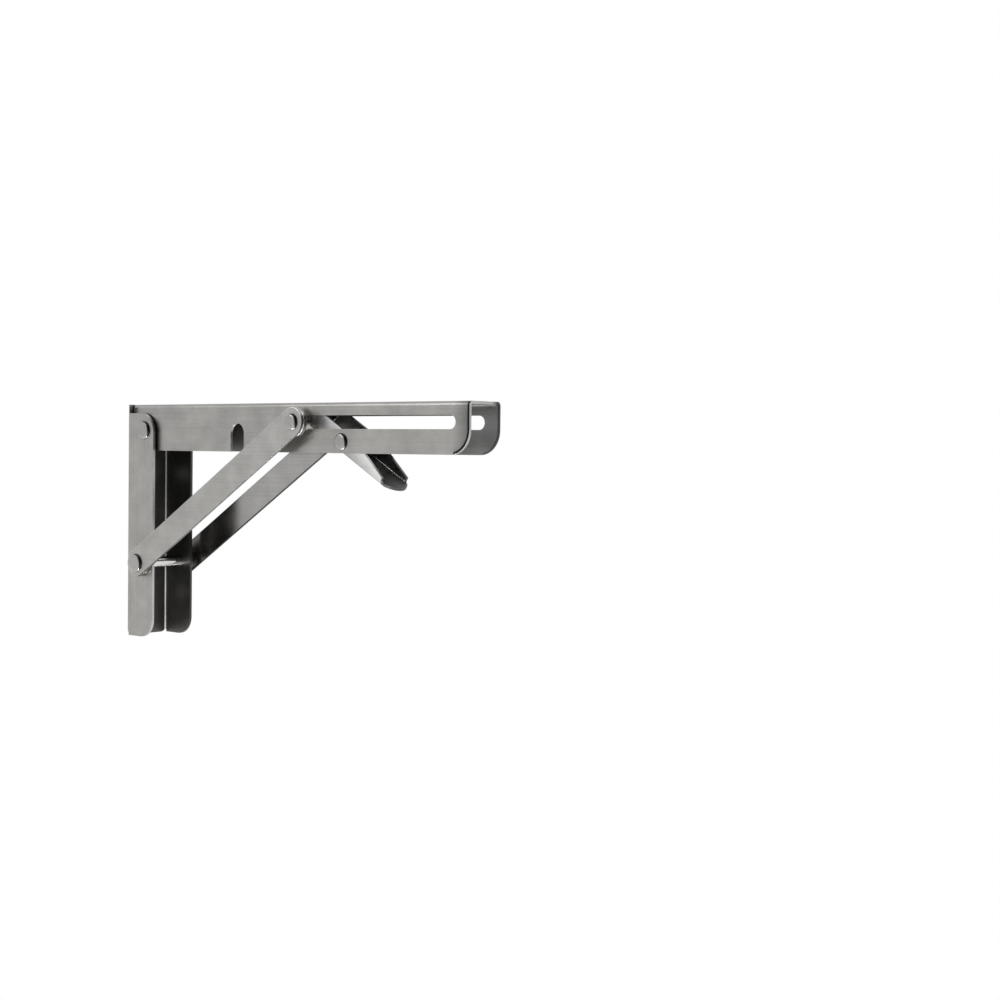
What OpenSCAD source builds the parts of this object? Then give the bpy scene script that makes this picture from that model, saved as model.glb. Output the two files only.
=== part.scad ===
// Folding shelf bracket: two channel arms hinged at the top corner, held open by a pair of braces.
// The braces turn on a rod through the wall arm, and their upper pin runs in a long slot in the
// shelf arm, where a sprung lever latches it. The bracket is drawn open and latched.
// X runs out from the wall, Y along the wall and Z up. The origin is on the wall plane, halfway
// between the two wall screw holes and midway across the bracket. Sizes are in millimetres.

/* [Wall arm] */
// Height of the wall arm
wall_h = 180; // [172:1:240]
// Outer width of the wall arm
wall_w = 39; // [37:0.5:60]
// Depth of the wall arm's flanges
wall_depth = 32; // [31:0.5:38]
// Rounding of the flanges' lower corners
foot_r = 14; // [4:0.5:16]
// Rounding of the flanges' upper corners
ear_r = 15; // [6:0.5:16]
// Step down from the top face to the flanges' upper edge
ear_drop = 6.7; // [4:0.1:8]
// Rounding of the web's lower corners
web_foot_r = 7; // [3:0.5:10]

/* [Wall screw holes] */
// Diameter of the wall screw holes
wall_hole_d = 6.4; // [4:0.1:8]
// Distance between the wall screw holes
hole_gap = 96; // [80:1:110]
// Height of the lower hole above the arm's lower end
low_hole_up = 29.5; // [18:0.5:45]

/* [Shelf arm] */
// Reach of the shelf arm from the wall
shelf_len = 351; // [345:1:420]
// Depth of the shelf arm's flanges
shelf_depth = 35.4; // [33:0.2:42]
// Rounding of the flanges' outer corners
tip_r = 16.5; // [6:0.5:18]
// Gap between the shelf arm's back end and the wall arm's web
back_gap = 0.8; // [0.5:0.1:2]
// Diameter of the shelf screw holes
shelf_hole_d = 5.5; // [4:0.1:7]
// Distance from the wall to the middle shelf screw hole
mid_hole_x = 160; // [155:1:170]
// Distance between neighbouring shelf screw holes
shelf_hole_gap = 120; // [105:1:125]

/* [Sheet metal] */
// Thickness of the arms and the lever
sheet_t = 2; // [1.5:0.1:2.5]
// Inner radius of the bends
bend_r = 1; // [0.5:0.1:1.5]
// Thickness of the braces
brace_t = 2; // [1.5:0.1:3]

/* [Pivots] */
// Distance from the wall to the arms' pivot
pivot_x = 20.6; // [19:0.1:21]
// Drop from the top face to the arms' pivot
pivot_drop = 19.9; // [18:0.1:21]
// Shank diameter of the arms' two pivot rivets
pivot_d = 7; // [5:0.1:8]
// Distance from the wall to the lower rod
lower_x = 19.2; // [17:0.1:20]
// Drop from the top face to the lower rod
lower_drop = 122.5; // [110:0.5:128]
// Diameter of the lower rod
lower_d = 8; // [6:0.1:8.5]
// Distance between a brace's two pivots
brace_len = 205.2; // [195:0.1:206.5]
// Width of a brace
brace_w = 20.8; // [17:0.2:23]
// Thickness of the round spacers beside the braces
spacer_t = 3.9; // [3:0.1:6]
// Gap between the flanges of the two arms
arm_gap = 1.9; // [1:0.05:2.5]
// Outer diameter of the washers between the two arms
washer_d = 13; // [10:0.2:14]
// Diameter of the rivet heads at the wall arm
pivot_head_d = 14.2; // [11:0.2:16]
// Diameter of the rivet heads at the upper pin and the lever
pin_head_d = 12; // [10:0.2:12.6]
// Height of the rivet heads outside the bracket
head_h = 1.9; // [1.2:0.1:2.5]
// Height of the rivet heads inside the shelf arm
inner_head_h = 1.6; // [1:0.1:2]

/* [Slot and upper pin] */
// Drop from the top face to the slot's centre line
slot_drop = 13.8; // [13:0.1:15]
// Height of the slot
slot_h = 9.5; // [9:0.1:11]
// Distance from the slot's outer end to the shelf arm's outer end
slot_rim = 12; // [10:0.5:14]
// Diameter of the upper pin's ends in the braces
neck_d = 8; // [6:0.1:8.5]
// Diameter of the collars beside the shelf arm
collar_d = 12; // [11:0.1:13]
// Width of the notch that clears the lower rod
notch_w = 14.6; // [14.4:0.2:20]
// Drop from the top face to the top of the notch
notch_drop = 14.6; // [13:0.2:16]

/* [Lever] */
// Distance from the latched pin to the lever's pivot, along the arm
lever_reach = 39.9; // [36:0.1:44]
// Drop from the top face to the lever's pivot
lever_drop = 27.4; // [26:0.1:28]
// Slope of the lever's back
lever_slope = 29.3; // [26:0.1:32]
// Slope of the upper edge of the lever's grip
grip_slope = 44; // [38:0.5:46]
// Distance along the lever from its pivot to the start of its grip
grip_reach = 6; // [1:0.5:10]
// Distance from the lever's pivot to the outside of its back
lever_back = 8.2; // [7.5:0.1:9]
// Distance from the lever's pivot to the ramp that the pin rides over
lever_ramp = 7.1; // [6:0.1:7.5]
// Length of the side plates from the pivot to their tips
lever_tip = 44.4; // [41:0.1:46]
// Length of the back from the pivot to the end of the thumb tab
lever_tab = 53.4; // [50:0.1:58]
// Diameter of the lever's pivot rod
lever_d = 6; // [4:0.1:6.5]
// Gap between the lever and the shelf arm's flanges
lever_play = 0.4; // [0.3:0.1:1]
// Gap between the lever's nose and the latched pin
nose_gap = 0.4; // [0.2:0.1:1]

/* [Lever spring] */
// Wire diameter of the lever's spring
wire_d = 1.2; // [0.8:0.1:1.3]
// Mean diameter of the spring's coil
coil_d = 9.2; // [8.6:0.1:9.4]
// Whole turns of the spring's coil
coil_turns = 6; // [4:1:8]
// Length of the spring's leg along the lever's back
leg_len = 24; // [16:1:30]
// Distance along the arm from the lever's pivot to the spring's hole in the far flange
anchor_reach = 17; // [15:0.5:22]

/* [Clearances] */
// Radial running clearance of every pivot
pivot_play = 0.05; // [0.02:0.01:0.1]
// Gap beside each washer, collar and spacer
side_play = 0.1; // [0.05:0.05:0.2]
// Gap above and below the upper pin in its slot
slot_play = 0.1; // [0.05:0.05:0.3]
// Radial gap round the spring's end in the far flange
anchor_play = 0.3; // [0.2:0.05:0.5]

/* [Hidden] */
$fn = 64;
STEEL = [0.66, 0.65, 0.63];
DARK_STEEL = [0.52, 0.52, 0.51];

// Heights, with the origin halfway between the wall screw holes
bottom_z = -hole_gap / 2 - low_hole_up;
top_z = bottom_z + wall_h;
bend_out = bend_r + sheet_t;
back_x = sheet_t + back_gap;

// Half widths across the bracket, from the inside out
shelf_w = wall_w - 2 * (sheet_t + arm_gap);
shelf_out = shelf_w / 2;
shelf_in = shelf_out - sheet_t;
wall_out = wall_w / 2;
brace_in = wall_out + spacer_t;
brace_out = brace_in + brace_t;
lever_w = 2 * (shelf_in - lever_play);
pin_d = slot_h - 2 * slot_play;

// Pivots as [x, z]
PIVOT = [pivot_x, top_z - pivot_drop];
LOWER = [lower_x, top_z - lower_drop];
slot_z = top_z - slot_drop;
UPPER = [lower_x + sqrt(pow(brace_len, 2) - pow(slot_z - LOWER[1], 2)), slot_z];
LEVER = [UPPER[0] + lever_reach, top_z - lever_drop];

// Pose of the pieces with the bracket open
brace_angle = atan2(UPPER[1] - LOWER[1], UPPER[0] - LOWER[0]);
// The notch sits where the lower rod lies once the bracket is folded, a little past it, because
// the rod swings in from the arm's back end
notch_ahead = 1.6;
notch_x = PIVOT[0] + PIVOT[1] - LOWER[1] + notch_ahead;
slot_start = UPPER[0] - pin_d / 2 - slot_play;
slot_end = shelf_len - slot_rim;

// Half length of the fixed middle of the upper pin, which reaches halfway into each slot
pin_mid = shelf_in + sheet_t / 2;

// Lever, in its own frame: first value along its slope, second value square to it
nose_r = norm(UPPER - LEVER) - pin_d / 2 - nose_gap;
nose_round = 5.2;
peak_cut = [3.4, 1.6];
nose_low = [-sqrt(pow(nose_r - nose_round, 2) - pow(lever_back - nose_round, 2)), nose_round - lever_back];
nose_side = [nose_low[0] - nose_round, nose_low[1]];
peak_side = [peak_cut[0] - nose_r, lever_ramp - peak_cut[1]];
peak_top = [peak_side[0] + peak_cut[1], lever_ramp];
grip = grip_slope - lever_slope;
grip_start = [grip_reach, lever_ramp];
grip_end = [lever_tip, lever_ramp - (lever_tip - grip_reach) * tan(grip)];
// The back joins the side plates from here on; nearer the nose they stand alone
web_start = 20;
tab_r = lever_w / 2;

// Spring, wound about the lever's rod, with one end hooked through the far flange
coil_r = coil_d / 2;
ANCHOR = [LEVER[0] + anchor_reach, LEVER[1] + coil_r];
wind_gap = 0.1;
hook_r = 2;
hook_turn = 88;
hook_out = 0.6;

// Cross-section of a folded channel: web along x with its outer face on y = 0, flanges up in y
module channel_profile(width, depth) {
    module rounded(w, r) {
        translate([-w / 2, r]) square([w, depth - r + 1]);
        translate([r - w / 2, 0]) square([w - 2 * r, depth]);
        for (s = [-1, 1]) translate([s * (w / 2 - r), r]) circle(r);
    }
    intersection() {
        translate([-width / 2, 0]) square([width, depth]);
        difference() {
            rounded(width, bend_out);
            translate([0, sheet_t]) rounded(width - 2 * sheet_t, bend_r);
        }
    }
}

// Waste outside a rounded corner at point at, where out gives the corner's outward signs
module corner_waste(at, r, out) {
    spill = r + 1;
    translate([at[0] - out[0] * r, at[1] - out[1] * r])
        difference() {
            translate([out[0] > 0 ? 0 : -spill, out[1] > 0 ? 0 : -spill]) square(spill);
            circle(r);
        }
}

// Slab whose outline is drawn as seen along the wall: x outwards, y up
module side_slab(width) {
    rotate([90, 0, 0]) linear_extrude(width, center = true) children();
}

// Moves a child that is turned about the Z axis onto the Y axis at point at, from height from
module along_y(at, from = 0) {
    translate([at[0], from, at[1]]) rotate([-90, 0, 0]) children();
}

// Near pieces are the far ones mirrored across the middle of the bracket
module near_side() {
    mirror([0, 1, 0]) children();
}

// Round hole straight through a piece, along Y
module cross_hole(at, r) {
    along_y(at, -wall_w) cylinder(h = 2 * wall_w, r = r);
}

// Half outline of a domed rivet head with a flat top, standing on height at: a short upright rim,
// then a quarter of an ellipse
function head_points(r, at, h) =
    let (rim = h / 4, dome = 1.4 * h)
    concat([[r, at]], [for (a = [0 : 30 : 90]) [r - dome * (1 - cos(a)), at + rim + (h - rim) * sin(a)]]);

// The same outline turned upside down, in the order that carries on from below
function flipped(points) = [for (i = [len(points) - 1 : -1 : 0]) [points[i][0], -points[i][1]]];

// Outline of a stepped pin between two heights, turned about its axis
module turned(points) {
    rotate_extrude() polygon(points);
}

// Rod with a formed head at each end, centred across the bracket
module headed_rod(r, half, head_r) {
    head = head_points(head_r, half, head_h);
    turned(concat([[0, -half - head_h]], flipped(head), [[r, -half], [r, half]], head, [[0, half + head_h]]));
}

// Flat ring about the Y axis
module ring(at, from, t, r_out, r_in) {
    along_y(at, from)
        difference() {
            cylinder(h = t, r = r_out);
            translate([0, 0, -1]) cylinder(h = t + 2, r = r_in);
        }
}

module wall_outline() {
    difference() {
        union() {
            translate([0, bottom_z]) square([bend_out, wall_h]);
            translate([0, bottom_z]) square([wall_depth, wall_h - ear_drop]);
        }
        corner_waste([wall_depth, top_z - ear_drop], ear_r, [1, 1]);
        corner_waste([wall_depth, bottom_z], foot_r, [1, -1]);
    }
}

module wall_arm() {
    color(STEEL) difference() {
        intersection() {
            translate([0, 0, bottom_z])
                rotate([0, 0, -90]) linear_extrude(wall_h) channel_profile(wall_w, wall_depth);
            side_slab(2 * wall_w) wall_outline();
        }
        for (side = [-1, 1])
            translate([-1, 0, 0]) rotate([90, 0, 90]) linear_extrude(bend_out + 1)
                corner_waste([side * wall_out, bottom_z], web_foot_r, [side, -1]);
        for (side = [-1, 1])
            translate([-1, 0, side * hole_gap / 2])
                rotate([0, 90, 0]) cylinder(h = bend_out + 1, r = wall_hole_d / 2);
        cross_hole(PIVOT, pivot_d / 2);
        cross_hole(LOWER, lower_d / 2);
    }
}

// The back corner below the pivot is cut round it, so that it clears the web as the arm turns
module shelf_outline() {
    back_r = PIVOT[0] - back_x;
    low_z = top_z - shelf_depth;
    difference() {
        translate([back_x, low_z]) square([shelf_len - back_x, shelf_depth]);
        corner_waste([shelf_len, low_z], tip_r, [1, -1]);
        difference() {
            translate([back_x - 1, PIVOT[1] - 2 * back_r]) square([back_r + 1, 2 * back_r]);
            translate(PIVOT) circle(back_r);
        }
        slot_outline();
        translate([notch_x, top_z - notch_drop - notch_w / 2]) circle(notch_w / 2);
        translate([notch_x - notch_w / 2, low_z - 1])
            square([notch_w, shelf_depth - notch_drop - notch_w / 2 + 1]);
    }
}

module slot_outline() {
    r = slot_h / 2;
    for (x = [slot_start + r, slot_end - r]) translate([x, slot_z]) circle(r);
    translate([slot_start + r, slot_z - r]) square([slot_end - slot_start - slot_h, slot_h]);
}

// The shelf arm is one folded sheet. It is drawn as its top with both bends, and its two sides.
module shelf_sheet() {
    color(STEEL) difference() {
        intersection() {
            translate([back_x, 0, top_z]) rotate([90, 0, 90]) linear_extrude(shelf_len - back_x)
                mirror([0, 1]) channel_profile(shelf_w, shelf_depth);
            side_slab(2 * shelf_w) shelf_outline();
        }
        for (step = [-1, 0, 1])
            translate([mid_hole_x + step * shelf_hole_gap, 0, top_z - sheet_t - 1])
                cylinder(h = sheet_t + 2, r = shelf_hole_d / 2);
        cross_hole(PIVOT, pivot_d / 2 + pivot_play);
        cross_hole(LEVER, lever_d / 2);
        along_y(ANCHOR, shelf_in - 1) cylinder(h = sheet_t + 2, r = wire_d / 2 + anchor_play);
    }
}

module shelf_top() {
    intersection() {
        shelf_sheet();
        translate([0, -shelf_w, top_z - bend_out]) cube([shelf_len + 1, 2 * shelf_w, bend_out + 1]);
    }
}

// One side of the shelf arm: side is 1 for the far one and -1 for the near one
module shelf_side(side) {
    intersection() {
        shelf_sheet();
        translate([0, side > 0 ? 0 : -shelf_w, top_z - shelf_depth - 1])
            cube([shelf_len + 1, shelf_w, shelf_depth + 1 - bend_out]);
    }
}

module brace_far() {
    color(STEEL) translate([LOWER[0], brace_in, LOWER[1]]) rotate([0, -brace_angle, 0])
        rotate([-90, 0, 0]) difference() {
            linear_extrude(brace_t) {
                for (x = [0, brace_len]) translate([x, 0]) circle(brace_w / 2);
                translate([0, -brace_w / 2]) square([brace_len, brace_w]);
            }
            translate([0, 0, -1]) cylinder(h = brace_t + 2, r = lower_d / 2 + pivot_play);
            translate([brace_len, 0, -1]) cylinder(h = brace_t + 2, r = neck_d / 2);
        }
}

// Rivet through both arms at the top corner, headed outside the wall arm and inside the shelf arm
module fold_rivet_far() {
    r = pivot_d / 2;
    seat = shelf_in - side_play;
    inner = flipped(head_points(washer_d / 2, -seat, inner_head_h));
    color(DARK_STEEL) along_y(PIVOT)
        turned(concat(
            [[0, seat - inner_head_h]], inner, [[r, seat], [r, wall_out]],
            head_points(pivot_head_d / 2, wall_out, head_h), [[0, wall_out + head_h]]));
}

module fold_washer_far() {
    color(DARK_STEEL)
        ring(PIVOT, shelf_out + side_play, arm_gap - side_play, washer_d / 2, pivot_d / 2);
}

// Rod through the wall arm that the braces turn on, headed over both braces
module lower_rod() {
    color(DARK_STEEL) along_y(LOWER)
        headed_rod(lower_d / 2, brace_out + side_play, pivot_head_d / 2);
}

module lower_spacer_far() {
    color(DARK_STEEL) ring(LOWER, wall_out, spacer_t - side_play, brace_w / 2, lower_d / 2);
}

module upper_spacer_far() {
    color(DARK_STEEL) ring(UPPER, wall_out + side_play, spacer_t - side_play, brace_w / 2, neck_d / 2);
}

// Headed end of the upper pin, which the brace carries, as far as the spacer's inner face
module upper_rivet_far() {
    r = neck_d / 2;
    from = wall_out + side_play;
    color(DARK_STEEL) along_y(UPPER)
        turned(concat(
            [[0, from], [r, from], [r, brace_out]],
            head_points(pin_head_d / 2, brace_out, head_h), [[0, brace_out + head_h]]));
}

// Collar of the upper pin with the end that runs in the slot
module slide_collar_far() {
    r = pin_d / 2;
    seat = shelf_out + side_play;
    color(DARK_STEEL) along_y(UPPER)
        turned([
            [0, pin_mid + side_play], [r, pin_mid + side_play], [r, seat],
            [collar_d / 2, seat], [collar_d / 2, wall_out - side_play], [0, wall_out - side_play]]);
}

// Middle of the upper pin, which lies across the arm in front of the lever's nose
module upper_pin() {
    color(DARK_STEEL) along_y(UPPER, -pin_mid) cylinder(h = 2 * pin_mid, r = pin_d / 2);
}

// Side of the lever: nose at the left, ramp along the top and grip at the right. The waste
// round its corners is cut from a plain outline, which runs past the back so that it cuts clean.
module lever_side() {
    low = -lever_back - 1;
    far = lever_tab + 1;
    difference() {
        polygon([
            [nose_side[0], low], nose_side, peak_side, peak_top,
            grip_start, grip_end, [lever_tip, low + sheet_t + 1], [far, low + sheet_t + 1], [far, low]]);
        corner_waste([nose_low[0] - nose_round, -lever_back], nose_round, [-1, -1]);
    }
}

// The lever is one folded sheet: two plates joined by a back that ends in a round thumb tab
module release_lever() {
    start = -nose_r - 1;
    tab_x = lever_tab - tab_r;
    half = lever_w / 2 + 1;
    color(STEEL) translate([LEVER[0], 0, LEVER[1]]) rotate([0, lever_slope, 0])
        difference() {
            intersection() {
                translate([start, 0, -lever_back]) rotate([90, 0, 90])
                    linear_extrude(lever_tab - start + 1) channel_profile(lever_w, 2 * lever_back);
                side_slab(2 * lever_w) lever_side();
                translate([0, 0, -lever_w]) linear_extrude(2 * lever_w) {
                    translate([start, -half]) square([lever_tip + 0.5 - start, 2 * half]);
                    translate([tab_x, 0]) circle(tab_r);
                }
            }
            translate([start - 1, bend_out - lever_w / 2, -lever_back - 1])
                cube([-start - web_start + 1, lever_w - 2 * bend_out, bend_out + 1]);
            translate([0, -lever_w, 0]) rotate([-90, 0, 0])
                cylinder(h = 2 * lever_w, r = lever_d / 2 + pivot_play);
        }
}

module lever_rod() {
    color(DARK_STEEL) along_y(LEVER)
        headed_rod(lever_d / 2, shelf_out, pin_head_d / 2);
}

// Centre line of the spring: the hook in the far flange, the leg under the pin's path, the coil
// and the leg on the lever's back, as points relative to the lever's pivot
function hook_points(y) =
    let (c = [anchor_reach - hook_r, y + hook_r], far = shelf_out + hook_out - y - hook_r)
    concat(
        [[c[0] + hook_r * sin(hook_turn) + far / tan(hook_turn), y + hook_r + far, coil_r]],
        [for (a = [hook_turn : -11 : 0]) [c[0] + hook_r * sin(a), c[1] - hook_r * cos(a), coil_r]]);

function spring_path() =
    let (
        start = 90,
        sweep = 360 * coil_turns - lever_slope + 180,
        steps = ceil(sweep / 15),
        span = (wire_d + wind_gap) * sweep / 360,
        along = [cos(lever_slope), -sin(lever_slope)],
        square_to = [sin(lever_slope), cos(lever_slope)],
        last = leg_len * along - (lever_back - sheet_t - wire_d / 2 - side_play) * square_to
    )
    concat(
        hook_points(span / 2),
        [for (i = [0 : steps])
            let (a = start + sweep * i / steps)
            [coil_r * cos(a), span * (0.5 - i / steps), coil_r * sin(a)]],
        [[last[0], -span / 2, last[1]]]);

function unit(v) = v / norm(v);

// Round wire of radius r along a list of points that never runs along the Y axis
module wire(path, r, sides = 8) {
    count = len(path);
    heading = [for (i = [0 : count - 1])
        unit(path[min(i + 1, count - 1)] - path[max(i - 1, 0)])];
    rings = [for (i = [0 : count - 1])
        let (a = unit(cross(heading[i], [0, 1, 0])), b = cross(heading[i], a))
        for (k = [0 : sides - 1])
            path[i] + r * (cos(360 * k / sides) * a + sin(360 * k / sides) * b)];
    walls = [for (i = [0 : count - 2], k = [0 : sides - 1])
        let (n = (k + 1) % sides)
        [i * sides + k, i * sides + n, (i + 1) * sides + n, (i + 1) * sides + k]];
    first_cap = [[for (k = [sides - 1 : -1 : 0]) k]];
    last_cap = [[for (k = [0 : sides - 1]) (count - 1) * sides + k]];
    polyhedron(rings, concat(walls, first_cap, last_cap), convexity = 10);
}

module lever_spring() {
    color(DARK_STEEL) translate([LEVER[0], 0, LEVER[1]]) wire(spring_path(), wire_d / 2);
}

wall_arm();
shelf_top();
shelf_side(-1);  // shelf_side_near
shelf_side(1);  // shelf_side_far
near_side() brace_far();  // brace_near
brace_far();
near_side() fold_rivet_far();  // fold_rivet_near
fold_rivet_far();
near_side() fold_washer_far();  // fold_washer_near
fold_washer_far();
lower_rod();
near_side() lower_spacer_far();  // lower_spacer_near
lower_spacer_far();
near_side() upper_spacer_far();  // upper_spacer_near
upper_spacer_far();
near_side() upper_rivet_far();  // upper_rivet_near
upper_rivet_far();
near_side() slide_collar_far();  // slide_collar_near
slide_collar_far();
upper_pin();
release_lever();
lever_rod();
lever_spring();
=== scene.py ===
"""Folding shelf bracket in satin stainless steel, seen from the photograph's angle."""
import math

import bmesh
import bpy
from mathutils import Matrix, Vector


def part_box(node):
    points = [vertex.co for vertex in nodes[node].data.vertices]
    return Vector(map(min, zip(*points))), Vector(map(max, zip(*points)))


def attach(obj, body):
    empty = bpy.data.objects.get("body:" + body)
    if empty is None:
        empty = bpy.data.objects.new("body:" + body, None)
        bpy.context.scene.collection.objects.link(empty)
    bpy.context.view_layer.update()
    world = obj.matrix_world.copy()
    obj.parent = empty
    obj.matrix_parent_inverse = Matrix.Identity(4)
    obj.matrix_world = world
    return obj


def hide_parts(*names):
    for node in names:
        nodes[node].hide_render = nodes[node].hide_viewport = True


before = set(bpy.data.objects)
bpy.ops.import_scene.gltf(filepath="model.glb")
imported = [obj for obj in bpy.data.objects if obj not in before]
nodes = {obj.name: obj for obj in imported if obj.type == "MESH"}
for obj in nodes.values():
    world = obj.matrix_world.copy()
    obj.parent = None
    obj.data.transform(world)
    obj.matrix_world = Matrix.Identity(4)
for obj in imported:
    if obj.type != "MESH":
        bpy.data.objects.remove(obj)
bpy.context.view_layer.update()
scene = bpy.context.scene
MM = 0.001

# Camera, at the photograph's own place and angle

CAM_AT = Vector((1.05859, -0.82650, 0.07056))
CAM_RIGHT = Vector((0.765517, 0.643292, 0.012592))
CAM_UP = Vector((-0.028876, 0.014799, 0.999473))
CAM_LENS, CAM_SENSOR = 59.82, 36

cam_data = bpy.data.cameras.new("camera")
cam_data.lens = CAM_LENS
cam_data.sensor_width = CAM_SENSOR
cam_data.clip_end = 50
camera = bpy.data.objects.new("camera", cam_data)
scene.collection.objects.link(camera)
cam_back = CAM_RIGHT.cross(CAM_UP).normalized()
cam_up = cam_back.cross(CAM_RIGHT).normalized()
cam_turn = Matrix((CAM_RIGHT.normalized(), cam_up, cam_back)).transposed()
camera.matrix_world = Matrix.Translation(CAM_AT) @ cam_turn.to_4x4()
bpy.context.scene.camera = camera

# Materials


class Nodes:
    """Short hands for building the node tree of a material or of the world."""

    def __init__(self, owner):
        owner.use_nodes = True
        self.owner = owner
        self.tree = owner.node_tree
        self.tree.nodes.clear()

    def add(self, kind, values=None):
        """A new node, with the inputs that values names set to constants."""
        node = self.tree.nodes.new(kind)
        for name, value in (values or {}).items():
            node.inputs[name].default_value = value
        return node

    def link(self, out, into):
        self.tree.links.new(out, into)

    def show(self, shader, output="ShaderNodeOutputMaterial"):
        """Makes shader the surface."""
        self.link(shader.outputs[0], self.add(output).inputs["Surface"])

    def choose(self, fac, low, high):
        """The shader low where fac is 0, and high where it is 1."""
        node = self.add("ShaderNodeMixShader")
        self.link(fac, node.inputs["Fac"])
        self.link(low.outputs[0], node.inputs[1])
        self.link(high.outputs[0], node.inputs[2])
        return node

    def noise(self, stretch, scale, detail, rough, offset):
        """Noise in the piece's own coordinates, whose cells are longer where stretch is smaller."""
        place = self.add("ShaderNodeMapping", {"Scale": stretch, "Location": offset})
        self.link(self.add("ShaderNodeTexCoord").outputs["Object"], place.inputs["Vector"])
        noise = self.add("ShaderNodeTexNoise", {"Scale": scale, "Detail": detail, "Roughness": rough})
        self.link(place.outputs["Vector"], noise.inputs["Vector"])
        return noise.outputs["Fac"]

    def ramp(self, value, low, high, to_low, to_high):
        """value mapped from low..high to to_low..to_high."""
        node = self.add("ShaderNodeMapRange", {
            "From Min": low, "From Max": high, "To Min": to_low, "To Max": to_high})
        self.link(value, node.inputs["Value"])
        return node.outputs["Result"]

    def math(self, op, *values):
        """One step of arithmetic on constants and outputs of other nodes."""
        node = self.add("ShaderNodeMath")
        node.operation = op
        for socket, value in zip(node.inputs, values):
            if isinstance(value, (int, float)):
                socket.default_value = value
            else:
                self.link(value, socket)
        return node.outputs[0]

    def weighted(self, first, *others):
        """The sum of values, each given with its weight."""
        total = self.math("MULTIPLY", *first)
        for other in others:
            total = self.math("ADD", total, self.math("MULTIPLY", *other))
        return total

    def along(self, direction, of="Object"):
        """How far a place, or a normal, lies along a direction of the piece's own frame."""
        dot = self.add("ShaderNodeVectorMath")
        dot.operation = "DOT_PRODUCT"
        dot.inputs[1].default_value = direction
        self.link(self.add("ShaderNodeTexCoord").outputs[of], dot.inputs[0])
        return dot.outputs["Value"]

    def times(self, colour, factor):
        """colour made darker by factor."""
        node = self.add("ShaderNodeVectorMath")
        node.operation = "SCALE"
        self.link(colour, node.inputs[0])
        self.link(factor, node.inputs["Scale"])
        return node.outputs[0]

    def mix(self, fac, low, high):
        """The colour low where fac is 0, and high where it is 1."""
        node = self.add("ShaderNodeMix")
        node.data_type = "RGBA"
        self.link(fac, node.inputs["Factor"])
        node.inputs["A"].default_value = (*low, 1)
        node.inputs["B"].default_value = (*high, 1)
        return node.outputs["Result"]


def on_slope(slope):
    """The directions along a slope that falls outwards, and square to it upwards."""
    return (Vector((math.cos(slope), 0, -math.sin(slope))),
            Vector((math.sin(slope), 0, math.cos(slope))))


# The lever's pivot and slope. Its grip falls more steeply, from grip reach along the lever and
# grip height above its pivot, in millimetres, and painted light makes the lever lightest along the grip's
# edge
LEVER_AT = Vector((233.1441, 0, 75.1)) * MM
LEVER_SLOPE, GRIP_SLOPE = math.radians(29.3), math.radians(44)
LEVER_ALONG, LEVER_UP = on_slope(LEVER_SLOPE)
GRIP_UP = on_slope(GRIP_SLOPE)[1]
GRIP_REACH, GRIP_HEIGHT = 6, 7.1
GRIP_EDGE = GRIP_UP.dot(LEVER_AT + (GRIP_REACH * LEVER_ALONG + GRIP_HEIGHT * LEVER_UP) * MM)

# Stretches of painted shade, over which a look darkens, as direction, start, end and what is left of
# the colour: the lever away from its grip's edge, the sides before the shelf arm's outer end, and
# the cut and rounded edges towards the far side
GRIP_SHADE = (GRIP_UP, GRIP_EDGE - 1 * MM, GRIP_EDGE - 13 * MM, 0.5)
END_SHADE = ((1, 0, 0), 336 * MM, 350 * MM, 0.45)
FAR_SHADE = ((0, 1, 0), 6 * MM, 12 * MM, 0.15)

# Painted shade the same way on round sides, by how far they turn that way: the braces' edges
# outwards and down, and the heads outwards and up, which paints a dark crescent on them
BRACE_TURN_SHADE = ((0.66, 0, -0.75), 0.1, 0.4, 0.12)
HEAD_TURN_SHADE = ((0.88, 0, 0.48), 0.16, 0.36, 0.06)

# Painted shade lines along the shelf arm's outer end, as width and what is left of the colour
SIDE_LINE = (2.3 * MM, 0.05)
INSIDE_LINE = (0.9 * MM, 0.2)

# Middle of the round at the shelf arm's outer lower corner, its radius, and the stretch along
# the arm over which the lower edge begins to count as part of the end
TIP_X, TIP_Z, TIP_R = 334.5 * MM, 83.6 * MM, 16.5 * MM
TIP_FROM, TIP_TO = TIP_X - 1 * MM, TIP_X + 3 * MM


def from_tip(n):
    """Distance from the shelf arm's outer end, followed round its lower corner."""
    x = n.along((1, 0, 0))
    ahead = n.math("MAXIMUM", n.math("SUBTRACT", x, TIP_X), 0)
    below = n.math("MAXIMUM", n.math("SUBTRACT", TIP_Z, n.along((0, 0, 1))), 0)
    below = n.math("MULTIPLY", below, n.ramp(x, TIP_FROM, TIP_TO, 0, 1))
    square = n.math("ADD", n.math("POWER", ahead, 2), n.math("POWER", below, 2))
    return n.math("SUBTRACT", TIP_R, n.math("SQRT", square))


# Ways in which drawn lines run, as the stretch on each axis: 1 across the lines, small along them
ALONG_X, ALONG_Y, ALONG_Z = (0.012, 1, 1), (1, 0.05, 1), (1, 1, 0.012)
ON_PIN = (1, 0.06, 1)
NO_WAY = (1, 1, 1)

# Scale, detail, roughness and offset of each noise
LINES = (5200, 4.0, 0.7, (0, 0, 0))
BANDS = (900, 3.0, 0.6, (0.31, 0.17, 0.43))
BLOTCHES = (55, 5.0, 0.6, (0.2, 0.7, 0.1))
SPECKS = (900, 2.0, 0.5, (0.5, 0.1, 0.9))

# Values of the mixed noises at which a colour and a roughness are lowest and highest
TONE_FROM, TONE_TO = 0.38, 0.62
WEAR_FROM, WEAR_TO = 0.35, 0.65
BUMP_DEPTH = 0.04 * MM


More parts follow.
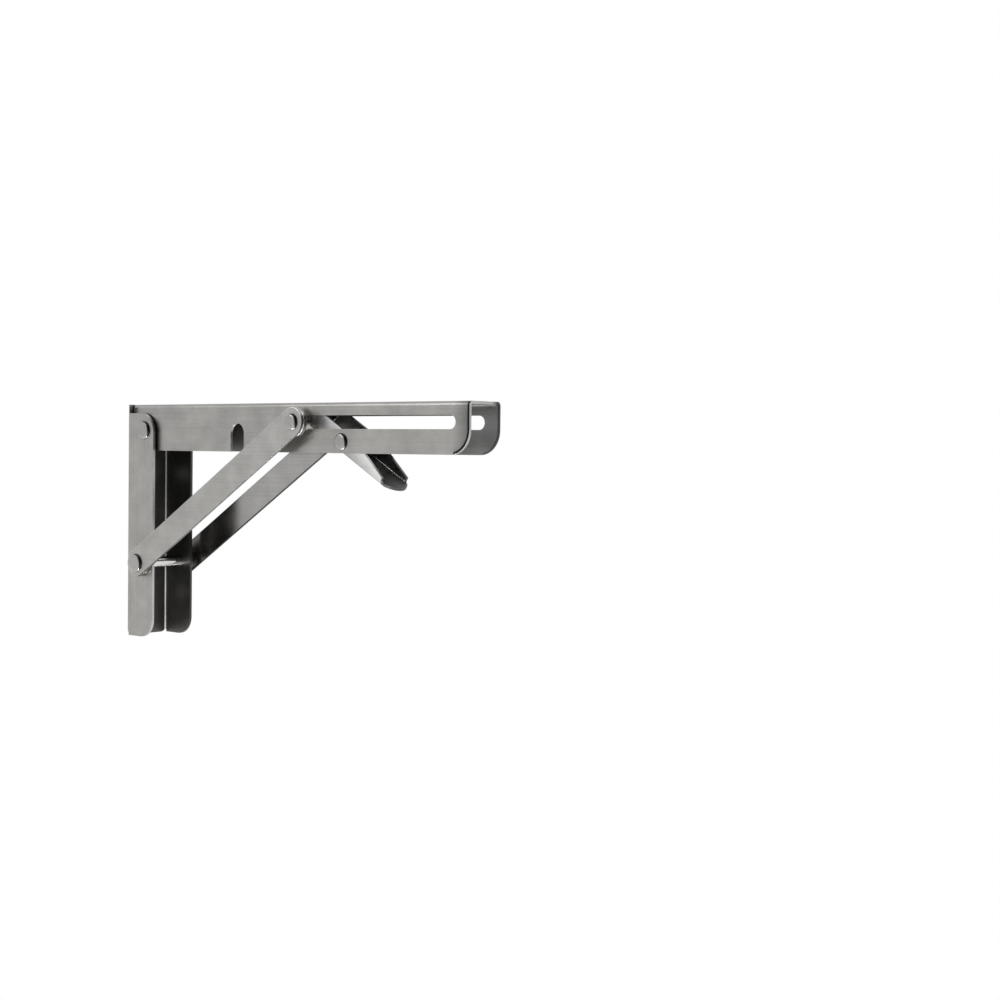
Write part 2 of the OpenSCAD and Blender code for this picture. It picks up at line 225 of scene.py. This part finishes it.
def steel(name, dark, light, rough, lie, grain=0.25, shade=None, rim=None, turned=None):
    """Satin steel with drawn lines along one axis, soft blotches and fine scratches.

    dark and light are the blotches' colours, rough is (lowest, highest) roughness and
    lie is the way in which the lines run. shade is a stretch of painted shade over which
    it gets darker, rim is a painted shade line along the shelf arm's outer end, and turned
    is painted shade on a round side, which gets darker as it turns one way.
    """
    n = Nodes(bpy.data.materials.new(name))
    shader = n.add("ShaderNodeBsdfPrincipled", {"Metallic": 1.0})
    n.show(shader)

    lines, bands = n.noise(lie, *LINES), n.noise(lie, *BANDS)
    blotches, specks = n.noise(NO_WAY, *BLOTCHES), n.noise(NO_WAY, *SPECKS)

    tone = n.weighted((blotches, 0.5), (bands, 0.3), (specks, 0.2))
    colour = n.mix(n.ramp(tone, TONE_FROM, TONE_TO, 0, 1), dark, light)
    # Painted shade: over a stretch, along the shelf arm's outer end, and on round sides as they turn
    if shade:
        towards, start, stop, dim = shade
        colour = n.times(colour, n.ramp(n.along(towards), start, stop, 1, dim))
    if rim:
        width, dim = rim
        colour = n.times(colour, n.ramp(from_tip(n), width, width / 2, 1, dim))
    if turned:
        towards, start, stop, dim = turned
        colour = n.times(colour, n.ramp(n.along(towards, "Normal"), start, stop, 1, dim))
    n.link(colour, shader.inputs["Base Color"])

    wear = n.weighted((lines, 0.55), (blotches, 0.45))
    n.link(n.ramp(wear, WEAR_FROM, WEAR_TO, *rough), shader.inputs["Roughness"])

    bump = n.add("ShaderNodeBump", {"Strength": grain, "Distance": BUMP_DEPTH})
    n.link(n.weighted((lines, 1), (bands, 0.5)), bump.inputs["Height"])
    n.link(bump.outputs["Normal"], shader.inputs["Normal"])
    return n.owner


# The arm's sides: painted shade before the outer end, and a painted shade line along it
sheet_x = steel("satin_along_arm", (0.315, 0.309, 0.293), (0.405, 0.398, 0.377), (0.28, 0.40), ALONG_X,
                shade=END_SHADE, rim=SIDE_LINE)
sheet_z = steel("satin_up_wall", (0.32, 0.312, 0.293), (0.41, 0.40, 0.377), (0.30, 0.44), ALONG_Z)
# A darker copy for the arm's inside faces, as painted shade, with a thin painted shade line at the end
inner_steel = steel("inside_of_arm", (0.27, 0.27, 0.265), (0.33, 0.33, 0.325), (0.32, 0.46), ALONG_X,
                    rim=INSIDE_LINE)
# Painted shade: inside the wall arm and on the lower spacers, between the braces and the flanges
dark_steel = steel("shaded_inside", (0.13, 0.127, 0.12), (0.18, 0.176, 0.168), (0.34, 0.48), ALONG_Z)
# Painted light on the near brace's inner face and the upper spacers' inboard faces
pale_steel = steel("bright_inside", (0.76, 0.755, 0.74), (0.86, 0.855, 0.84), (0.30, 0.40), ALONG_X)
# A painted highlight along the wall arm's inner bends
bend_steel = steel("inner_bend", (0.80, 0.79, 0.77), (0.92, 0.91, 0.89), (0.46, 0.56), ALONG_Z, grain=0.1)
# Cut edges with a painted highlight, fading to painted shade towards the far side
cut_steel = steel("cut_edge", (0.42, 0.415, 0.405), (0.58, 0.575, 0.56), (0.26, 0.40), ALONG_Y,
                  grain=0.4, shade=FAR_SHADE)
# Rounded edges with a painted highlight, fading to painted shade towards the far side
edge_steel = steel("painted_highlight_edge", (0.62, 0.615, 0.60), (0.76, 0.755, 0.74), (0.20, 0.30), NO_WAY,
                   grain=0.1, shade=FAR_SHADE)

BRACE_TONES = (0.345, 0.34, 0.324), (0.445, 0.438, 0.417)
brace_steel = steel("satin_brace", *BRACE_TONES, (0.30, 0.44), ALONG_X)
inner_brace = steel("polished_brace", *BRACE_TONES, (0.13, 0.21), ALONG_X)
# The braces' cut edges darkened as painted shade, more so towards the far side
brace_cut = steel("brace_edge", (0.17, 0.168, 0.162), (0.25, 0.247, 0.24), (0.30, 0.44), ALONG_Y,
                  shade=FAR_SHADE)
# The braces' rounded edges: a painted highlight, with painted shade where they turn outwards and down and
# towards the far side
brace_round = steel("brace_rounded_edge", (0.58, 0.575, 0.56), (0.72, 0.715, 0.70), (0.22, 0.32), NO_WAY,
                    grain=0.1, shade=FAR_SHADE, turned=BRACE_TURN_SHADE)

# Painted light along the lever's grip edge, fading to painted shade away from it
lever_steel = steel("satin_lever", (0.68, 0.675, 0.66), (0.84, 0.835, 0.82), (0.24, 0.36), ALONG_X,
                    shade=GRIP_SHADE)
# Painted shade on the lever's inner faces
dark_lever = steel("shaded_lever", (0.25, 0.247, 0.24), (0.33, 0.327, 0.32), (0.30, 0.44), ALONG_X)
# Painted shade on the lever's thumb tab and the upper face of its back
dark_tab = steel("shaded_tab", (0.075, 0.074, 0.072), (0.13, 0.128, 0.124), (0.34, 0.48), ALONG_X)

pin_steel = steel("turned_pin", (0.36, 0.355, 0.34), (0.44, 0.43, 0.415), (0.22, 0.34), ON_PIN)
# Rivet heads with a painted shade crescent where they turn outwards and up
head_steel = steel("rivet_head", (0.36, 0.355, 0.34), (0.43, 0.425, 0.41), (0.15, 0.25), NO_WAY,
                   grain=0.15, turned=HEAD_TURN_SHADE)
rod_steel = steel("polished_rod", (0.62, 0.615, 0.60), (0.72, 0.715, 0.70), (0.07, 0.13), ON_PIN, grain=0.1)
# Darker discs, as painted shade between the braces and the flanges
disc_steel = steel("turned_disc", (0.26, 0.257, 0.25), (0.33, 0.326, 0.317), (0.22, 0.34), ALONG_Y)
wire_steel = steel("spring_wire", (0.36, 0.36, 0.36), (0.46, 0.46, 0.45), (0.16, 0.28), NO_WAY, grain=0.15)

# CAD pieces that stay, with better materials

# Points nearer than WELD are one point, faces that turn by less than FLAT are one flat face, and
# edges that turn by more than SHARP get a round or stay sharp in smooth shading
WELD, FLAT, SHARP = 0.001 * MM, math.radians(0.4), math.radians(32)
SMALL_ROUND, LARGE_ROUND = {"width": 0.4 * MM, "segments": 3}, {"width": 0.7 * MM, "segments": 3}
DOME_ROUND = {"width": 0.3 * MM, "segments": 4}


def soften(obj, width, segments, edge_slot):
    """A small round with a look of its own on every sharp edge. Flat faces stay flat."""
    weld = obj.modifiers.new("weld", "WELD")
    weld.merge_threshold = WELD
    plain = obj.modifiers.new("plain_faces", "DECIMATE")
    plain.decimate_type = "DISSOLVE"
    plain.angle_limit = FLAT
    plain.delimit = {"MATERIAL"}
    edges = obj.modifiers.new("edge_round", "BEVEL")
    edges.width = width
    edges.segments = segments
    edges.limit_method = "ANGLE"
    edges.angle_limit = SHARP
    edges.use_clamp_overlap = True
    edges.material = edge_slot
    flat = obj.modifiers.new("flat_faces", "WEIGHTED_NORMAL")
    flat.weight = 100


def finish(obj, main, *others, edge=None, width, segments):
    """Puts materials on an object, and small rounds on its edges.

    Each of others is a material and the test that picks its faces, by their normal and
    centre. The first test that fits counts. edge is the look of the rounds, the same as
    main where it is left out.
    """
    mesh = obj.data
    mesh.materials.clear()
    for material in (main, *(other[0] for other in others), edge or main):
        mesh.materials.append(material)
    for face in mesh.polygons:
        for i, (material, test) in enumerate(others):
            if test(face.normal, face.center):
                face.material_index = i + 1
                break
    soften(obj, width, segments, len(others) + 1)


def dress(name, main, *others, edge=None, rounds=SMALL_ROUND):
    """finish for a CAD node."""
    finish(nodes[name], main, *others, edge=edge, **rounds)


def smooth(obj, angle=SHARP):
    """Smooth shading, with edges sharper than angle kept sharp."""
    for face in obj.data.polygons:
        face.use_smooth = True
    obj.data.set_sharp_from_angle(angle=angle)


# How far a face's normal lies along a direction: 1 is straight along it and 0 is square to it
LEVEL, STRAIGHT, MOSTLY, HALFWAY, PARTLY, BARELY, HARDLY = 0.99, 0.95, 0.9, 0.5, 0.3, 0.1, 0.05

SHEET = 2 * MM
# Counted from a web's outer face, its inner face lies before WEB and its bends lie before BEND
WEB, BEND = 1.1 * SHEET, 3.2 * MM
# Half the length of the lower rod's bright middle
ROD_HALF = 18 * MM
# Where the lever's thumb tab begins, and how far out the cut edges of its side plates lie
TAB_FROM = LEVER_AT + LEVER_ALONG * 44.6 * MM
PLATE_IN = 11.2 * MM


def faces_middle(n, c):
    """Faces on either side that look straight at the bracket's middle."""
    return n.y * c.y < -STRAIGHT * abs(c.y)


def is_cut(n, c):
    """Faces that don't look sideways: cut edges, and a channel's web and bends."""
    return abs(n.y) < HALFWAY


def wall_inside(n, c):
    return faces_middle(n, c) or n.x > MOSTLY and c.x < WEB


def wall_cut(n, c):
    return is_cut(n, c) and not (c.x < BEND and abs(n.x) > PARTLY and abs(n.z) < PARTLY)


def wall_bend(n, c):
    return HARDLY * abs(c.y) < -n.y * c.y < STRAIGHT * abs(c.y) and c.x < BEND


def plate_edge(n, c):
    """Cut edges of the lever's side plates, below its pivot."""
    return is_cut(n, c) and abs(c.y) > PLATE_IN and c.z < LEVER_AT.z


def tab_or_back(n, c):
    """The lever's thumb tab, and the upper face of its back."""
    return n.dot(LEVER_UP) > STRAIGHT or (c - TAB_FROM).dot(LEVER_ALONG) > 0


def rod_middle(n, c):
    return abs(n.y) < BARELY and abs(c.y) < ROD_HALF


dress("wall_arm", sheet_z, (bend_steel, wall_bend), (dark_steel, wall_inside), (cut_steel, wall_cut),
      edge=edge_steel, rounds=LARGE_ROUND)
for side, inner in (("near", pale_steel), ("far", inner_brace)):
    dress("brace_" + side, brace_steel, (brace_cut, is_cut), (inner, faces_middle), edge=brace_round)
    dress("lower_spacer_" + side, dark_steel)
    dress("upper_spacer_" + side, disc_steel, (pale_steel, faces_middle), edge=edge_steel,
          rounds=LARGE_ROUND)
    dress("fold_washer_" + side, disc_steel)
    dress("fold_rivet_" + side, head_steel, rounds=DOME_ROUND)
    dress("upper_rivet_" + side, head_steel, rounds=DOME_ROUND)
dress("release_lever", lever_steel, (edge_steel, plate_edge), (dark_tab, tab_or_back),
      (dark_lever, faces_middle), edge=head_steel)
dress("lower_rod", head_steel, (rod_steel, rod_middle), rounds=DOME_ROUND)
dress("lever_rod", head_steel, rounds=DOME_ROUND)

# The shelf arm, joined into the one folded sheet that it is


def made(name, bm):
    """A new object from bm, with every face turned outwards."""
    bmesh.ops.recalc_face_normals(bm, faces=bm.faces)
    mesh = bpy.data.meshes.new(name)
    bm.to_mesh(mesh)
    bm.free()
    obj = bpy.data.objects.new(name, mesh)
    scene.collection.objects.link(obj)
    return obj


# How near each other the corners of touching nodes lie, and how near the seam its faces lie
MEET, ON_SEAM = 0.002 * MM, 0.01 * MM


def joined(name, seam_z, *parts):
    """One mesh of CAD nodes that meet at the height seam_z, without the faces where they touch."""
    bm = bmesh.new()
    for part in parts:
        bm.from_mesh(nodes[part].data)
    bmesh.ops.remove_doubles(bm, verts=bm.verts, dist=MEET)
    seam = [f for f in bm.faces
            if abs(f.normal.z) > LEVEL and all(abs(v.co.z - seam_z) < ON_SEAM for v in f.verts)]
    bmesh.ops.delete(bm, geom=seam, context="FACES_ONLY")
    return made(name, bm)


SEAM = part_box("shelf_top")[0][2]
ARM_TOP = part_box("shelf_top")[1][2]


def arm_inside(n, c):
    return faces_middle(n, c) or n.z < -MOSTLY and c.z > ARM_TOP - WEB


def arm_cut(n, c):
    return is_cut(n, c) and not (c.z > ARM_TOP - BEND and abs(n.z) > PARTLY and abs(n.x) < PARTLY)


arm = joined("shelf_arm_sheet", SEAM, "shelf_top", "shelf_side_near", "shelf_side_far")
smooth(arm)
finish(arm, sheet_x, (inner_steel, arm_inside), (cut_steel, arm_cut), edge=edge_steel, **LARGE_ROUND)
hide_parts("shelf_top", "shelf_side_near", "shelf_side_far")
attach(arm, "shelf_arm")

# The upper pin's collars and middle, in one piece


def circle(steps):
    """Angles all the way round."""
    return [2 * math.pi * k / steps for k in range(steps)]


def lathe(name, profile, at, steps=64):
    """A solid turned about the axis along Y through at, from (radius, y) pairs."""
    bm = bmesh.new()
    x, z = at
    rings = []
    for r, y in profile:
        angles = circle(steps) if r else [0]
        rings.append([bm.verts.new((x + r * math.cos(a), y, z + r * math.sin(a))) for a in angles])
    for low, high in zip(rings, rings[1:]):
        for k in range(steps):
            n = (k + 1) % steps
            corners = [low[k % len(low)], low[n % len(low)], high[n % len(high)], high[k % len(high)]]
            bm.faces.new(list(dict.fromkeys(corners)))
    return made(name, bm)


COLLAR_PLAY, COLLAR_RIM = 0.1 * MM, 0.35 * MM
pin_low, pin_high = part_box("upper_pin")
pin_at = ((pin_low[0] + pin_high[0]) / 2, (pin_low[2] + pin_high[2]) / 2)
pin_r = (pin_high[0] - pin_low[0]) / 2
collar_low, collar_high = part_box("slide_collar_far")
collar_r = (collar_high[0] - collar_low[0]) / 2
collar_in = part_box("shelf_side_far")[1][1] + COLLAR_PLAY
collar_out = collar_high[1]
half = [(pin_r, collar_in), (collar_r - COLLAR_RIM, collar_in), (collar_r, collar_in + COLLAR_RIM),
        (collar_r, collar_out - COLLAR_RIM), (collar_r - COLLAR_RIM, collar_out), (0, collar_out)]
pin = lathe("upper_pin_whole", [(r, -y) for r, y in reversed(half)] + half, pin_at)
smooth(pin)
pin.data.materials.append(pin_steel)
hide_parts("upper_pin", "slide_collar_near", "slide_collar_far")
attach(pin, "slider")

# The lever's spring, of rounder wire


def wire(name, path, r, sides=14):
    """Round wire along path, whose rings keep their own twist from point to point."""
    bm = bmesh.new()
    last = len(path) - 1
    ahead = [(path[min(i + 1, last)] - path[max(i - 1, 0)]).normalized() for i in range(last + 1)]
    side = ahead[0].cross(Vector((0, 0, 1))).normalized()
    rings = []
    for p, d in zip(path, ahead):
        side = (side - d * side.dot(d)).normalized()
        other = d.cross(side)
        rings.append([bm.verts.new(p + r * (math.cos(a) * side + math.sin(a) * other))
                      for a in circle(sides)])
    for one, two in zip(rings, rings[1:]):
        for k in range(sides):
            n = (k + 1) % sides
            bm.faces.new((one[k], one[n], two[n], two[k]))
    bm.faces.new(list(reversed(rings[0])))
    bm.faces.new(rings[-1])
    return made(name, bm)


# The spring's measures in millimetres, from the lever's pivot. One end is hooked through the far
# flange and the other is a leg that presses on the lever's back
WIRE_D, WIRE_GAP = 1.2, 0.1
COIL_R, COIL_TURNS, COIL_STEP = 4.6, 6, math.radians(10)
HOOK_REACH, HOOK_END_Y, HOOK_R = 17.0, 16.2, 2.0
HOOK_TURN, HOOK_STEPS = math.radians(88), 12
LEVER_BACK, LEG_LEN = 8.2, 24

# The angle that the wire winds through, and the coil's width
SWEEP = 2 * math.pi * COIL_TURNS - LEVER_SLOPE + math.pi
SPAN = (WIRE_D + WIRE_GAP) * SWEEP / (2 * math.pi)


def place(points):
    """Points in millimetres from the lever's pivot, as places in the frame."""
    return [LEVER_AT + Vector(p) * MM for p in points]


def coil(first, last):
    """The coil's centre line from one angle of its winding to another."""
    steps = round((last - first) / COIL_STEP)
    turns = [first + (last - first) * i / steps for i in range(steps + 1)]
    return [(-COIL_R * math.sin(a), SPAN * (0.5 - a / SWEEP), COIL_R * math.cos(a)) for a in turns]


def hook():
    """The end that is hooked through the far flange, as far as the coil."""
    x, y = HOOK_REACH - HOOK_R, SPAN / 2
    past_bend = (HOOK_END_Y - y - HOOK_R) / math.tan(HOOK_TURN)
    points = [(x + HOOK_R * math.sin(HOOK_TURN) + past_bend, HOOK_END_Y, COIL_R)]
    for i in range(HOOK_STEPS + 1):
        a = HOOK_TURN * (1 - i / HOOK_STEPS)
        points.append((x + HOOK_R * math.sin(a), y + HOOK_R - HOOK_R * math.cos(a), COIL_R))
    return points


def leg():
    """The end of the leg that presses on the lever's back."""
    drop = LEVER_BACK - SHEET / MM - WIRE_D / 2 - WIRE_GAP
    end = LEG_LEN * LEVER_ALONG - drop * LEVER_UP
    return [(end.x, -SPAN / 2, end.z)]


# The spring winds up as the lever turns, so its first turn stays with the arm and the rest goes
# with the lever. Where they meet, the two lie inside each other
HOLD_TO, MOVE_FROM = math.radians(300), math.radians(240)
WIRE_SHARP = math.radians(50)
fixed = wire("lever_spring_hook", place(hook() + coil(0, HOLD_TO)), WIRE_D / 2 * MM)
moving = wire("lever_spring_coil", place(coil(MOVE_FROM, SWEEP) + leg()), WIRE_D / 2 * MM)
for part, body in ((fixed, "shelf_arm"), (moving, "lever")):
    smooth(part, WIRE_SHARP)
    part.data.materials.append(wire_steel)
    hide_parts("lever_spring")
    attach(part, body)

# Floor, backdrop and light

WHITE = (1, 1, 1, 1)
FLOOR_GREY, SKY_GREY, CARD_BLACK = (0.8, 0.8, 0.8, 1), (0.82, 0.82, 0.84, 1), (0.01, 0.01, 0.01, 1)
FLOOR_AT, FLOOR_SIZE = (0.15, 0, -0.62), 14
CARD_AT, CARD_AIM, CARD_SIZE = (2.1, -1.6, 1.4), Vector((0.15, 0, 0.1)), (3.6, 4.4, 1)

# White to the camera and in reflections, and a plain surface to every other ray
pale = Nodes(bpy.data.materials.new("pale_floor"))
ray = pale.add("ShaderNodeLightPath")
reflected = pale.math("MAXIMUM", ray.outputs["Is Glossy Ray"], ray.outputs["Is Transmission Ray"])
seen = pale.math("MAXIMUM", ray.outputs["Is Camera Ray"], reflected)
glow = pale.add("ShaderNodeEmission", {"Color": WHITE})
plain = pale.add("ShaderNodeBsdfDiffuse", {"Color": FLOOR_GREY})
pale.show(pale.choose(seen, plain, glow))

bpy.ops.mesh.primitive_plane_add(size=FLOOR_SIZE, location=FLOOR_AT)
floor = bpy.context.object
floor.name = "floor"
floor.data.materials.append(pale.owner)

# White to the camera, and a soft grey light from all round
scene.view_settings.view_transform = "Standard"
scene.world = bpy.data.worlds.new("studio")
studio = Nodes(scene.world)
ray = studio.add("ShaderNodeLightPath")
white = studio.add("ShaderNodeBackground", {"Color": WHITE})
soft = studio.add("ShaderNodeBackground", {"Color": SKY_GREY})
studio.show(studio.choose(ray.outputs["Is Camera Ray"], soft, white), "ShaderNodeOutputWorld")


def lamp(name, at, aim, size, power):
    """A round lamp that the camera doesn't see."""
    data = bpy.data.lights.new(name, "AREA")
    data.shape = "DISK"
    data.size = size
    data.energy = power
    obj = bpy.data.objects.new(name, data)
    scene.collection.objects.link(obj)
    obj.location = at
    obj.rotation_euler = (Vector(aim) - Vector(at)).to_track_quat("-Z", "Y").to_euler()
    obj.visible_camera = False


MIDDLE = (0.15, 0, 0.03)
lamp("key", at=(-0.9, -1.9, 1.5), aim=MIDDLE, size=1.8, power=20)
lamp("fill", at=(0.9, 0.9, 1.8), aim=MIDDLE, size=1.0, power=6)
lamp("low", at=(0.47, -0.39, -0.51), aim=MIDDLE, size=0.16, power=1.0)
lamp("spot", at=(0.05, -0.33, -0.55), aim=(0.12, 0, 0.05), size=0.10, power=2.5)

# A black card behind and above the camera, whose reflection darkens the right side of round heads
bpy.ops.mesh.primitive_plane_add(size=1, location=CARD_AT)
card = bpy.context.object
card.name = "black_card"
card.scale = CARD_SIZE
card.rotation_euler = (CARD_AIM - card.location).to_track_quat("Z", "Y").to_euler()
card.visible_camera = False
black = Nodes(bpy.data.materials.new("black_card"))
black.show(black.add("ShaderNodeBsdfDiffuse", {"Color": CARD_BLACK}))
card.data.materials.append(black.owner)
